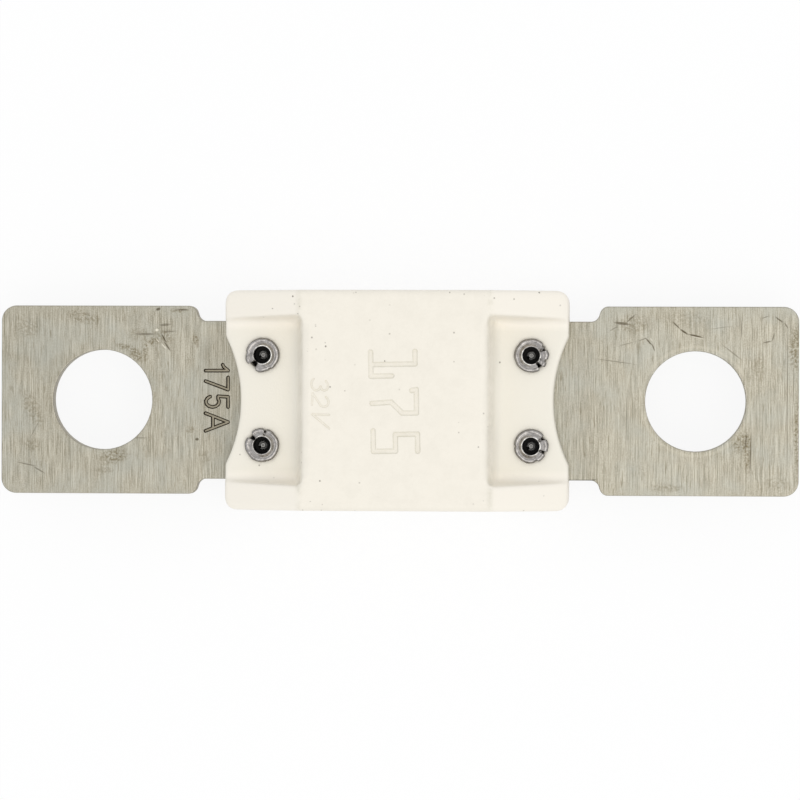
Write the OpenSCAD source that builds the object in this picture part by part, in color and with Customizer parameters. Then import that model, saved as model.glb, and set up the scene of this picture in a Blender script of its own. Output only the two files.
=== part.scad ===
// Bolt down strip fuse: a stamped metal strip with two bolt tabs and a narrow
// fusible link, closed in two moulded cover halves that four tubular rivets hold.
// Millimetres. X runs along the strip, Z up. The origin lies under the middle of
// the part, on the flat face of the lower cover that it rests on.

/* [Fuse strip] */
// Overall length over both tabs
strip_l = 68.6; // [66:0.2:72]
// Thickness of the sheet that the strip is stamped from
strip_t = 1.6; // [1.2:0.1:2]
// Distance from the outer end of a tab to the centre of its bolt hole
hole_inset = 8.8; // [7:0.1:10]
// Radius of a bolt hole
hole_r = 4.3; // [3.2:0.1:5.3]
// Width of a tab
tab_w = 16.2; // [14:0.2:18]
// Length of the neck that shows between the covers and the shoulders of a tab
neck_free_l = 2.4; // [1:0.05:3.5]
// Radius of the outer corners of a tab
tab_corner_r = 1.3; // [0.5:0.1:3]
// Radius of the rounded shoulders, and of the corners that they leave at the neck
shoulder_r = 0.5; // [0.2:0.1:0.6]
// Width of the neck between a tab and the link
neck_w = 13.6; // [12.4:0.1:13.8]
// How far a neck reaches into the arc chamber
neck_proud = 0.4; // [0.2:0.1:1]

/* [Fusible link] */
// Width of the link
link_w = 2; // [1.4:0.1:2.4]
// Thickness of the link, which is thinner than the sheet
link_t = 0.8; // [0.5:0.1:1.1]
// Distance between the centre lines of its neighbouring runs
link_pitch = 3.4; // [3:0.1:4]
// Distance between a bend of the link and the neck that it turns towards
bend_gap = 1.7; // [1:0.1:2.4]
// Radius of the round boss in the middle run that holds the pellet
boss_r = 1.6; // [1.5:0.05:1.8]
// Radius of the hole in the boss
boss_hole_r = 0.75; // [0.5:0.05:0.9]

/* [Tin pellet] */
// Radius of the two flattened ends of the pellet
pellet_end_r = 1.15; // [1.05:0.05:1.3]
// Height of a flattened end over the link
pellet_end_h = 0.25; // [0.15:0.05:0.4]

/* [Covers] */
// Length of a cover
cover_l = 29.4; // [28.4:0.2:31]
// Width of a cover
cover_w = 18.8; // [18:0.2:21]
// Height of a cover over the face where the two meet
cover_h = 5.35; // [4.8:0.05:6]
// Length of a sloped shoulder, from the end of a cover to its flat hump
slope_l = 6.6; // [6:0.05:6.8]
// How far a cover falls from its hump to its ends
slope_drop = 2.73; // [1.8:0.01:2.8]
// Radius of the four upright corners
corner_r = 1; // [0.4:0.1:2]
// Radius of the long upper edges
edge_r = 0.4; // [0.2:0.05:0.8]
// Depth of the hollow at each end, which leaves room for a washer on the bolt
hollow_depth = 1.3; // [0.6:0.1:1.6]
// Thickness of the roof over the arc chamber
roof_t = 1.2; // [0.9:0.05:1.6]
// Thickness of the wall between the arc chamber and a rivet pocket, at the pocket's floor
pocket_wall_t = 1.6; // [1.3:0.1:2]
// How far the wall beside the arc chamber reaches over the edge of the strip
chamber_ledge = 0.7; // [0.3:0.1:1.5]
// Radius of the upright corners of the arc chamber
chamber_corner_r = 1; // [0.5:0.1:2]

/* [Rivet pockets] */
// Length of a pocket at its floor, from the end of the cover
pocket_l = 6.2; // [5.6:0.1:6.4]
// Width of the rail between the side of a cover and a pocket's floor
rail_w = 2.5; // [2.2:0.05:3]
// How far the pocket's floor lies under the upper edge of the cover's ends
floor_drop = 0.32; // [0.1:0.02:0.7]
// Slope of the pocket's two side walls from the upright, in degrees
side_draft = 7; // [2:1:12]
// Slope of the pocket's inner wall from the upright, in degrees
inner_draft = 12; // [4:1:16]
// Radius between the pocket's floor and its walls
pocket_fillet_r = 0.6; // [0.2:0.1:0.8]
// Radius of the pocket's inner corners where they open on the hump
pocket_corner_r = 1; // [0.3:0.1:1.4]

/* [Rivets] */
// Distance from the end of a cover to the axis of a rivet
rivet_inset = 3.2; // [2.9:0.05:3.5]
// Distance from the side of a pocket's floor to the axis of a rivet
rivet_side = 3.03; // [2.6:0.01:3.5]
// Radius of a rivet's shank
shank_r = 1.12; // [0.95:0.01:1.2]
// Radius of the hole in the hollow end of a rivet
tube_r = 0.71; // [0.6:0.01:0.8]
// Depth of that hole under the pocket's floor
tube_depth = 1; // [0.6:0.1:2.4]
// Outer radius of the rolled rim
rim_r = 1.47; // [1.35:0.01:1.6]
// Height of the rolled rim over the pocket's floor
rim_h = 0.55; // [0.45:0.01:0.7]
// Radius of the flat head at the other end
head_r = 1.85; // [1.6:0.05:2.2]
// Height of the flat head
head_h = 0.6; // [0.4:0.05:0.9]
// Rounding of the flat head's upper edge
head_edge_r = 0.25; // [0.1:0.05:0.35]

/* [Locating pegs] */
// Radius of a peg
peg_r = 0.5; // [0.35:0.05:0.55]
// Height of a peg over the face where the covers meet
peg_h = 0.9; // [0.5:0.1:1.4]
// Distance from the end of a cover to the axis of a peg
peg_inset = 3.8; // [2.5:0.1:5.5]

/* [Clearances] */
// Gap beside the strip in its channel, on each side
channel_clear = 0.1; // [0.05:0.05:0.2]
// Gap round a rivet's shank in the covers and the strip
shank_clear = 0.08; // [0.05:0.01:0.15]
// Gap round and over a peg in its socket
peg_clear = 0.1; // [0.05:0.05:0.15]
// Gap round the pellet in its hole
pellet_clear = 0.03; // [0.02:0.01:0.06]

/* [Hidden] */
$fn = 96;
// How far a cutting shape runs past the face that it cuts
over = 1;

// Level of the face where the covers meet, which is the middle of the strip
mid_z = cover_h;
hole_x = strip_l / 2 - hole_inset;
shoulder_x = cover_l / 2 + neck_free_l;
tab_l = strip_l / 2 - shoulder_x;
channel_w = neck_w + 2 * channel_clear;

hump_l = cover_l - 2 * slope_l;
slope = atan(slope_drop / slope_l);
floor_h = cover_h - slope_drop - floor_drop;
// The hollow at a cover's end is round the axis of the bolt
hollow_r = hole_x - cover_l / 2 + hollow_depth;
pocket_gap = cover_l - 2 * pocket_l;
pocket_w = cover_w - 2 * rail_w;
chamber_l = pocket_gap - 2 * pocket_wall_t;
chamber_w = channel_w - 2 * chamber_ledge;
chamber_h = cover_h - roof_t;

rivet_x = cover_l / 2 - rivet_inset;
rivet_y = pocket_w / 2 - rivet_side;
rivet_hole_r = shank_r + shank_clear;
peg_x = cover_l / 2 - peg_inset;
// A peg stands in the middle of the rail beside the strip's channel
peg_y = (channel_w + cover_w) / 4;

neck_x = chamber_l / 2 - neck_proud;
// Where a bend of the link begins, which is half the length of its middle run
bend_x = neck_x - bend_gap - (link_pitch + link_w) / 2;
// How far a pocket's mouth, at the level of the hump, reaches past its floor
side_flare = (cover_h - floor_h) * tan(side_draft);
inner_flare = (cover_h - floor_h) * tan(inner_draft);
// How far the outline that rounds the corners of a pocket's mouth stands outside it
mouth_over = 0.1;

// Where each rivet stands, and the splits in its rolled rim as [angle, width at the rim]
rivet_left_back_splits = [[-130, 0.95]];
rivet_left_front_splits = [[141, 0.6], [77, 0.12]];
rivet_right_back_splits = [[-52, 0.3], [24, 0.14]];
rivet_right_front_splits = [[33, 0.22], [-26, 0.26]];

// A rectangle about the origin with its four corners rounded
module rounded_rect(l, w, r) {
    square([l - 2 * r, w], center = true);
    square([l, w - 2 * r], center = true);
    for (x = [-1, 1], y = [-1, 1])
        translate([x * (l / 2 - r), y * (w / 2 - r)])
            circle(r);
}

// What is left of a square corner at the origin when a circle of radius r rounds it
module corner_rest(r) {
    difference() {
        square(r);
        translate([r, r])
            circle(r);
    }
}

// Lays a flat shape drawn in Y and Z along the X axis, with its middle on the origin
module along_x(l) {
    rotate([90, 0, 90])
        linear_extrude(l, center = true)
            children();
}

// Lays a flat shape drawn in X and Z along the Y axis, with its middle on the origin
module along_y(l) {
    rotate([90, 0, 0])
        linear_extrude(l, center = true)
            children();
}

// The four places of the rivets
module at_rivets() {
    for (x = [-rivet_x, rivet_x], y = [-rivet_y, rivet_y])
        translate([x, y, 0])
            children();
}

// Fuse strip

// One tab and its neck, towards +X
module tab_outline() {
    neck_corner_y = neck_w / 2;
    difference() {
        union() {
            translate([shoulder_x, -tab_w / 2 + tab_corner_r])
                square([tab_l, tab_w - 2 * tab_corner_r]);
            translate([shoulder_x, -tab_w / 2])
                square([tab_l - tab_corner_r, tab_w]);
            for (side = [-1, 1])
                translate([strip_l / 2 - tab_corner_r, side * (tab_w / 2 - tab_corner_r)])
                    circle(tab_corner_r);
            translate([neck_x, -neck_w / 2])
                square([shoulder_x - neck_x + shoulder_r, neck_w]);
            for (side = [0, 1])
                mirror([0, side, 0])
                    translate([shoulder_x, neck_corner_y])
                        mirror([1, 0, 0])
                            corner_rest(shoulder_r);
        }
        for (side = [0, 1])
            mirror([0, side, 0])
                translate([shoulder_x, tab_w / 2])
                    mirror([0, 1, 0])
                        corner_rest(shoulder_r);
        translate([hole_x, 0])
            circle(hole_r);
        for (side = [-1, 1])
            translate([rivet_x, side * rivet_y])
                circle(rivet_hole_r);
    }
}

// Half of the S that the link makes: the end run, its bend and half of the middle run
module link_half() {
    translate([-neck_x - over, link_pitch - link_w / 2])
        square([neck_x + over + bend_x, link_w]);
    translate([bend_x, link_pitch / 2])
        intersection() {
            difference() {
                circle(link_pitch / 2 + link_w / 2);
                circle(link_pitch / 2 - link_w / 2);
            }
            translate([0, -link_pitch])
                square([2 * link_pitch, 2 * link_pitch]);
        }
    translate([0, -link_w / 2])
        square([bend_x, link_w]);
}

module link_outline() {
    difference() {
        union() {
            link_half();
            rotate(180)
                link_half();
            circle(boss_r);
        }
        circle(boss_hole_r);
    }
}

module fuse_strip() {
    color("#B9B4A4")
        translate([0, 0, mid_z]) {
            linear_extrude(strip_t, center = true) {
                tab_outline();
                mirror([1, 0, 0])
                    tab_outline();
            }
            linear_extrude(link_t, center = true)
                link_outline();
        }
}

// Pressed through the link's boss and flattened over it on both sides
module tin_pellet() {
    color("#CFCFCB")
        translate([0, 0, mid_z]) {
            cylinder(h = link_t + 2 * pellet_end_h, r = boss_hole_r - pellet_clear, center = true);
            for (side = [0, 1])
                mirror([0, 0, side])
                    translate([0, 0, link_t / 2])
                        cylinder(h = pellet_end_h, r = pellet_end_r);
        }
}

// Covers

// The section across a cover, with its upper face at zero and its long edges rounded
module cover_section(depth) {
    translate([-cover_w / 2, -depth])
        square([cover_w, depth - edge_r]);
    translate([-cover_w / 2 + edge_r, -depth])
        square([cover_w - 2 * edge_r, depth]);
    for (side = [-1, 1])
        translate([side * (cover_w / 2 - edge_r), -edge_r])
            circle(edge_r);
}

// The same section laid along the slope that falls from the hump to one end
module shoulder_slope(side) {
    translate([side * hump_l / 2, 0, cover_h])
        rotate([0, side * slope, 0])
            along_x(3 * cover_l)
                cover_section(cover_l);
}

// The outer form of a cover: flat hump, sloped shoulders, rounded edges, hollowed ends
module cover_block() {
    difference() {
        intersection() {
            linear_extrude(cover_h)
                rounded_rect(cover_l, cover_w, corner_r);
            translate([0, 0, cover_h])
                along_x(2 * cover_l)
                    cover_section(2 * cover_h);
            shoulder_slope(-1);
            shoulder_slope(1);
        }
        for (side = [-1, 1])
            translate([side * hole_x, 0, -over])
                cylinder(h = cover_h + 2 * over, r = hollow_r);
    }
}

// The section of a pocket: floor at zero, sloped walls, and a radius between them
module pocket_section(floor_w, height, draft) {
    r = pocket_fillet_r;
    // Distance from the floor's corner to where the radius meets the floor and the wall
    run = r / tan((90 + draft) / 2);
    for (side = [0, 1])
        mirror([side, 0]) {
            polygon([
                [0, 0],
                [floor_w / 2 - run, 0],
                [floor_w / 2 + run * sin(draft), run * cos(draft)],
                [floor_w / 2 + height * tan(draft), height],
                [0, height]
            ]);
            translate([floor_w / 2 - run, r])
                circle(r);
        }
}

// What a rivet pocket takes out of the +X end of a cover, which it leaves open
module pocket_cut() {
    height = cover_h - floor_h + over;
    inner_x = pocket_gap / 2 - inner_flare;
    mouth_w = pocket_w + 2 * side_flare;
    intersection() {
        translate([pocket_gap / 2, 0, floor_h])
            along_x(2 * cover_l)
                pocket_section(pocket_w, height, side_draft);
        translate([pocket_gap / 2 + cover_l, 0, floor_h])
            along_y(cover_w)
                pocket_section(2 * cover_l, height, inner_draft);
        translate([inner_x + cover_l - mouth_over, 0, 0])
            linear_extrude(2 * cover_h)
                rounded_rect(2 * cover_l, mouth_w + 2 * mouth_over, pocket_corner_r);
    }
}

// One half of the housing, with the face where the halves meet on Z = 0.
// The two halves are the same moulding: turned over, its pegs find its sockets.
module cover_half() {
    difference() {
        union() {
            cover_block();
            for (x = [-1, 1])
                translate([x * peg_x, peg_y, -peg_h])
                    cylinder(h = peg_h + floor_h / 2, r = peg_r);
        }
        for (side = [0, 1])
            mirror([side, 0, 0])
                pocket_cut();
        // Channel for the strip
        translate([0, 0, -over])
            linear_extrude(over + strip_t / 2)
                square([cover_l + 2 * over, channel_w], center = true);
        // Arc chamber over the link
        translate([0, 0, -over])
            linear_extrude(over + chamber_h)
                rounded_rect(chamber_l, chamber_w, chamber_corner_r);
        at_rivets()
            translate([0, 0, -over])
                cylinder(h = cover_h + 2 * over, r = rivet_hole_r);
        for (x = [-1, 1])
            translate([x * peg_x, -peg_y, -over])
                cylinder(h = over + peg_h + peg_clear, r = peg_r + peg_clear);
    }
}

module upper_cover() {
    color("#F3EFE3")
        translate([0, 0, mid_z])
            cover_half();
}

module lower_cover() {
    color("#EDE9DC")
        translate([0, 0, mid_z])
            rotate([180, 0, 0])
                cover_half();
}

// Rivets

// Half section of a rivet, about the middle of its shank: flat head, shank, rolled rim
module rivet_section() {
    // The rolled rim is a round bead between the hole and the outer radius
    bead_r = (rim_r - tube_r) / 2;
    difference() {
        union() {
            translate([0, -floor_h])
                square([shank_r, 2 * floor_h]);
            translate([0, -floor_h - head_h])
                square([head_r - head_edge_r, head_h]);
            translate([0, -floor_h - head_h + head_edge_r])
                square([head_r, head_h - head_edge_r]);
            translate([head_r - head_edge_r, -floor_h - head_h + head_edge_r])
                circle(head_edge_r);
            intersection() {
                translate([tube_r + bead_r, floor_h + rim_h - bead_r])
                    circle(bead_r);
                translate([0, floor_h])
                    square([2 * rim_r, rim_h]);
            }
            translate([0, floor_h])
                square([tube_r + bead_r, rim_h - bead_r]);
        }
        translate([-over, floor_h - tube_depth])
            square([over + tube_r, tube_depth + rim_h + over]);
        // Conical bottom of the hole
        polygon([
            [-over, floor_h - tube_depth],
            [-over, floor_h - tube_depth - tube_r / 2],
            [0, floor_h - tube_depth - tube_r / 2],
            [tube_r, floor_h - tube_depth]
        ]);
        // The half plane on the other side of the axis
        translate([-2 * head_r, -2 * cover_h])
            square([2 * head_r, 4 * cover_h]);
    }
}

// A split in the rolled rim, which widens from the hole to the rim's outer edge
module rim_split(angle, width) {
    rotate(angle)
        linear_extrude(rim_h + over)
            polygon([
                [tube_r / 2, -width / 8],
                [rim_r + over, -width * (rim_r + over) / rim_r / 2],
                [rim_r + over, width * (rim_r + over) / rim_r / 2],
                [tube_r / 2, width / 8]
            ]);
}

module rivet(x, y, splits) {
    color("#A9A9A6")
        translate([x, y, mid_z])
            difference() {
                rotate_extrude()
                    rivet_section();
                for (split = splits)
                    translate([0, 0, floor_h])
                        rim_split(split[0], split[1]);
            }
}

module rivet_left_back() {
    rivet(-rivet_x, rivet_y, rivet_left_back_splits);
}

module rivet_left_front() {
    rivet(-rivet_x, -rivet_y, rivet_left_front_splits);
}

module rivet_right_back() {
    rivet(rivet_x, rivet_y, rivet_right_back_splits);
}

module rivet_right_front() {
    rivet(rivet_x, -rivet_y, rivet_right_front_splits);
}

fuse_strip();
tin_pellet();
lower_cover();
upper_cover();
rivet_left_back();
rivet_left_front();
rivet_right_back();
rivet_right_front();
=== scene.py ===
import math

import bmesh
import bpy
from mathutils import Matrix, Vector, noise


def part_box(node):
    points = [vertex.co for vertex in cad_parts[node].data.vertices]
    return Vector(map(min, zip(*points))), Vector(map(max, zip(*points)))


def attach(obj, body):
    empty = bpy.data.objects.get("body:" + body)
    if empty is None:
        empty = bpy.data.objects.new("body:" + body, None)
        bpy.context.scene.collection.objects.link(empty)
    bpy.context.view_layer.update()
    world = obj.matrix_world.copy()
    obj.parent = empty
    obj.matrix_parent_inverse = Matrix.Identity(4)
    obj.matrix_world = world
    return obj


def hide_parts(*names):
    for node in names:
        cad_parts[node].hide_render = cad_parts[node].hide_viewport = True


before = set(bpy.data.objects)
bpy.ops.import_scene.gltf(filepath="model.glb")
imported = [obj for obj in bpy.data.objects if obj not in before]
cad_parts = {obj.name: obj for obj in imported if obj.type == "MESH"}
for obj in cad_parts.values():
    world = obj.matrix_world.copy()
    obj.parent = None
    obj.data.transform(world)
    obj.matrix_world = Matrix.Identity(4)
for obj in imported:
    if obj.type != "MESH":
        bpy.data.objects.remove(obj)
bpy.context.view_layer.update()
mm = 0.001                    # m
merge = 0.0008                # mm; points nearer than this are one
cadFlat = 0.4                 # degrees; faces of a CAD mesh that bend less become one


# Shared helpers

def hexColour(text):  # sRGB hex to the linear colour that Blender's sockets take
    channels = [int(text[i:i + 2], 16) / 255 for i in (1, 3, 5)]
    linear = [c / 12.92 if c <= 0.04045 else ((c + 0.055) / 1.055) ** 2.4 for c in channels]
    return (*linear, 1)


def addNode(tree, kind, links=None, **settings):  # links: input name or number to a value or a socket
    node = tree.nodes.new(kind)
    for name, value in settings.items():
        setattr(node, name, value)
    for name, value in (links or {}).items():
        if isinstance(value, bpy.types.NodeSocket):
            tree.links.new(value, node.inputs[name])
        else:
            node.inputs[name].default_value = value
    return node


def newMaterial(name, **sockets):  # a Principled material, with its fixed values on the shader's own sockets
    material = bpy.data.materials.new(name)
    material.use_nodes = True
    shader = material.node_tree.nodes["Principled BSDF"]
    for socket, value in sockets.items():
        shader.inputs[socket.replace("_", " ")].default_value = value
    return material, material.node_tree, shader


# Every piece is modelled in millimetres, and dress() brings it to metres once it is whole

def nodeMesh(name):  # a CAD node's own mesh, merged, with its flat faces whole again
    bm = bmesh.new()
    bm.from_mesh(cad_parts[name].data)
    bmesh.ops.scale(bm, verts=bm.verts, vec=(1 / mm, 1 / mm, 1 / mm))
    bmesh.ops.remove_doubles(bm, verts=bm.verts, dist=merge)
    bmesh.ops.dissolve_limit(bm, angle_limit=math.radians(cadFlat), verts=bm.verts, edges=bm.edges)
    return bm


def nodeBox(name):  # lowest and highest corner of a CAD node, in mm
    return [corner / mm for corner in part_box(name)]


def bendOf(edge):
    return math.degrees(edge.calc_face_angle()) if edge.is_manifold else 0


def rollEdges(piece, rollOf, segments):  # rollOf gives the radius in mm for an edge, or 0
    bm = bmesh.new()
    bm.from_mesh(piece.data)
    weights = bm.edges.layers.float.new("bevel_weight_edge")
    rolls = {edge: rollOf(edge) for edge in bm.edges}
    widest = max(rolls.values())
    for edge, roll in rolls.items():
        edge[weights] = roll / widest
    bm.to_mesh(piece.data)
    bm.free()
    bevel = piece.modifiers.new("roll", "BEVEL")
    bevel.width = widest
    bevel.segments = segments
    bevel.limit_method = "WEIGHT"
    bevel.use_clamp_overlap = False
    applyModifiers(piece)


def shadeByAngle(piece, angle):
    bm = bmesh.new()
    bm.from_mesh(piece.data)
    bmesh.ops.remove_doubles(bm, verts=bm.verts, dist=merge)
    for face in bm.faces:
        face.smooth = True
    for edge in bm.edges:
        edge.smooth = bendOf(edge) < angle and edge.is_manifold
    bm.to_mesh(piece.data)
    bm.free()
    weigh = piece.modifiers.new("flatTops", "WEIGHTED_NORMAL")
    weigh.keep_sharp = True


def meshObject(name, bm):
    mesh = bpy.data.meshes.new(name)
    bm.to_mesh(mesh)
    bm.free()
    piece = bpy.data.objects.new(name, mesh)
    bpy.context.scene.collection.objects.link(piece)
    return piece


def applyModifiers(piece):
    bpy.context.view_layer.update()
    graph = bpy.context.evaluated_depsgraph_get()
    made = bpy.data.meshes.new_from_object(piece.evaluated_get(graph), depsgraph=graph)
    piece.modifiers.clear()
    piece.data = made


def combine(piece, other, operation):  # the faces that the other leaves keep its materials
    change = piece.modifiers.new("change", "BOOLEAN")
    change.operation = operation
    change.solver = "EXACT"
    change.material_mode = "TRANSFER"
    change.object = other
    applyModifiers(piece)
    bpy.data.objects.remove(other)


def dress(piece, node):
    piece.data.transform(Matrix.Scale(mm, 4))
    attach(piece, "root")
    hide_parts(node)
    print("made", piece.name, len(piece.data.polygons), "faces")


# Numbers and letters, each a list of strokes on a field one unit wide and high. A mark gives the x and
# y of its first letter, the height, width and pitch of its letters and the climb from one to the next,
# the width and depth of a stroke and how far its cutter stands over the face (over), all in mm, the
# taper of a groove and the slant of a letter as shares, and the turn of the whole in degrees

def bowl(x, y, wide, high, first, last, steps=7):  # points along part of an ellipse, in degrees
    turns = [math.radians(first + (last - first) * step / steps) for step in range(steps + 1)]
    return [(x + wide * math.cos(turn), y + high * math.sin(turn)) for turn in turns]


squareShapes = {              # as a mould maker mills them
    "1": [[(0, 1), (0.52, 1), (0.52, 0)], [(0, 0), (1, 0), (1, 0.47)]],
    "7": [[(-0.04, 0.9), (-0.08, 1), (0.89, 1), (0.89, 0.68), (0.43, 0.43), (0.47, 0)]],
    "5": [[(0.82, 1), (0.11, 1), (0.11, 0.5), (0.8, 0.5), (0.8, 0), (-0.05, 0)]],
}
roundShapes = {               # as a punch leaves them
    "1": [[(0.03, 0.76), (0.18, 0.8), (0.48, 1), (0.48, 0)]],
    "2": [bowl(0.45, 0.7, 0.42, 0.3, 150, -35) + [(-0.1, 0.06), (0.8, 0)]],
    "3": [bowl(0.5, 0.76, 0.4, 0.24, 150, -70, 6), bowl(0.5, 0.28, 0.46, 0.28, 75, -150)],
    "5": [[(0.69, 1), (-0.1, 1), (-0.14, 0.56)] + bowl(0.28, 0.31, 0.42, 0.3, 125, -160, 9)],
    "7": [[(-0.3, 1), (0.65, 1), (-0.01, 0)]],
    "A": [[(-0.13, 0), (0.56, 1), (1.25, 0)], [(0.1, 0.33), (1.02, 0.33)]],
    "V": [[(0.15, 1), (0.25, 0), (1.2, 1)]],
}
strokeForm = {
    "segments": 22,           # round the ends of a stroke
    "hair": 0.004,            # share by which strokes that meet differ, so that no two faces coincide
    "hairSteps": 5,           # strokes before that repeats
    "hairTurn": 0.002,        # radians, the same for their direction
    "turnSteps": 3,
    "floorBelow": -0.9,       # upward share of the normal of a cutter's foot
}


def strokeShape(mark, start, end, number):  # one groove with round ends, narrower at its foot
    spread = 1 + strokeForm["hair"] * (number % strokeForm["hairSteps"])
    bm = bmesh.new()
    made = bmesh.ops.create_circle(
        bm, cap_ends=True, segments=strokeForm["segments"], radius=mark["stroke"] / 2 * spread
    )["verts"]
    pushed = bmesh.ops.extrude_face_region(bm, geom=[made[0].link_faces[0]])["geom"]
    foot = [v for v in pushed if isinstance(v, bmesh.types.BMVert)]
    bmesh.ops.scale(bm, verts=foot, vec=(1 - mark["taper"], 1 - mark["taper"], 1))
    bmesh.ops.translate(bm, verts=foot, vec=(0, 0, -mark["depth"] * spread))
    bmesh.ops.translate(bm, verts=made, vec=(0, 0, mark["over"] * spread))
    along = end - start
    ahead = [v for v in bm.verts if v.co.x > merge]
    bmesh.ops.translate(bm, verts=ahead, vec=(along.length, 0, 0))
    bearing = math.atan2(along.y, along.x) + strokeForm["hairTurn"] * (number % strokeForm["turnSteps"])
    place = Matrix.Translation((start.x, start.y, 0)) @ Matrix.Rotation(bearing, 4, "Z")
    bmesh.ops.transform(bm, matrix=place, verts=bm.verts)
    bmesh.ops.recalc_face_normals(bm, faces=bm.faces)
    for face in bm.faces:
        face.material_index = 1 if face.normal.z < strokeForm["floorBelow"] else 0
    return meshObject("stroke", bm)


def strokeCutter(mark, shapes, top, wall, floor):  # it reads towards -Y, and its letters' tops face +X
    whole, number = None, 0
    for index, letter in enumerate(mark["text"]):
        for line in shapes[letter]:
            points = [
                Vector((
                    mark["x"] + b * mark["height"] + index * mark["climb"],
                    mark["y"] - index * mark["pitch"] - (a + mark["slant"] * b) * mark["width"],
                )) for a, b in line
            ]
            for start, end in zip(points, points[1:]):
                stroke = strokeShape(mark, start, end, number)
                stroke.data.materials.append(wall)
                stroke.data.materials.append(floor)
                if whole is None:
                    whole = stroke
                else:
                    combine(whole, stroke, "UNION")
                number += 1
    turn = Matrix.Rotation(math.radians(mark["turn"]), 4, "Z")
    whole.data.transform(Matrix.Translation((0, 0, top)) @ turn)
    return whole


# Covers: glass filled polyester, compression moulded, so off-white, satin and faintly mottled

cover = {
    # Form
    "even": 0.1,              # mm, the even mesh on which the corners are softened
    "pull": 0.5,              # share of the way to its neighbours that a pass moves a point
    "softPasses": 22,         # more make the corners rounder
    "seamPasses": 3,          # the same beside the seam, whose edge is crisper
    "seam": 5.35,             # mm, height of the face where the covers meet
    "seamReach": 1.0,         # mm
    "wallPasses": 80,         # more for the inner walls of the rivet pockets, which are rounder still
    "wallFrom": 7.3,          # mm from the middle, where they start
    "wallTo": 9.8,
    "wallSide": 6.6,          # mm to each side
    "wallFoot": 7.2,          # mm, height
    "flat": 0.3,              # degrees; what bends less becomes one face
    "crisp": 32,              # degrees; an edge that bends more is shaded sharp
    # Look
    "colour": "#F4EEE1",
    "shade": "#F0EADD",       # of the mottling
    "slope": "#F7F1E5",       # painted light: the slopes a little lighter than the flat top
    "dusty": "#F0EBDE",       # painted shade in the pockets
    "grime": "#CFCAB9",       # painted shade in the creases where the slopes begin
    "speck": "#6E675A",
    "groove": "#EDE8DB",      # walls of the numbers; this and the next three tones are painted a little darker than the face, as painted shade in the grooves
    "grooveShade": "#E5E0D1",
    "grooveFloor": "#F0EADD",
    "grooveFloorShade": "#EAE4D6",
    "ior": 1.53,
    "smooth": 0.36,           # roughness in the hollows of the grain
    "rough": 0.5,             # and on its tops
    "mottle": 1.6,            # mm between its patches
    "mottleFrom": 0.42,       # of the noise, where a patch starts
    "mottleFull": 0.66,
    "mouldGrain": 0.17,       # mm, coarser than the real spark finish so that it shows
    "grainDepth": 0.015,      # mm
    "ripple": 2.4,            # mm, shallow waves left by the moulding
    "rippleDepth": 0.02,      # mm
    "rippleShare": 0.7,
    "pocketFrom": 8.0,        # mm from the middle, where the painted light of the slopes and the painted shade of the pockets start
    "pocketFull": 8.6,
    "pocketSide": 6.4,        # mm to each side, where it ends
    "pocketSideFull": 5.9,
    "crease": 8.12,           # mm from the middle, where the slopes begin
    "creaseReach": 0.35,      # mm to each side of it
    "creaseShare": 0.5,
    "speckSpacing": 0.42,     # mm
    "speckSize": 0.11,        # mm
    "speckCore": 0.3,         # share of a speck that is dark throughout
    "speckShare": 0.03,       # of the cells that have one
    "edgeShare": 0.05,        # the same beside the long edges
    "edgeFrom": 7.6,          # mm to each side, where those start
    "edgeFull": 9.2,
    "dirtShare": 1.6,         # the same in the middle of a place listed below; 1 fills every cell
    "dirtDepth": 4,           # mm that such a place reaches down the sides
}
coverDirt = [                 # where specks gather on the upper cover: x, y, length, width in mm, share
    (-8.2, 8.4, 1.5, 3.4, 0.9), (8.1, 8.9, 1.4, 2.4, 0.6), (14.2, 8.7, 1.8, 2.8, 0.9),
    (-6.4, -9.1, 4.6, 1.2, 1.0), (-3.6, 9.3, 1.8, 0.9, 0.9), (4.8, 9.3, 2.0, 0.9, 0.8),
    (13.5, -9.2, 1.6, 1.0, 0.9), (-10.6, 7.2, 2.2, 1.4, 0.6), (-7.0, 4.8, 3.0, 3.8, 0.3),
    (-8.0, -4.5, 1.4, 5.0, 0.3), (10.6, 3.6, 4.0, 2.0, 0.15),
]


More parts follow.
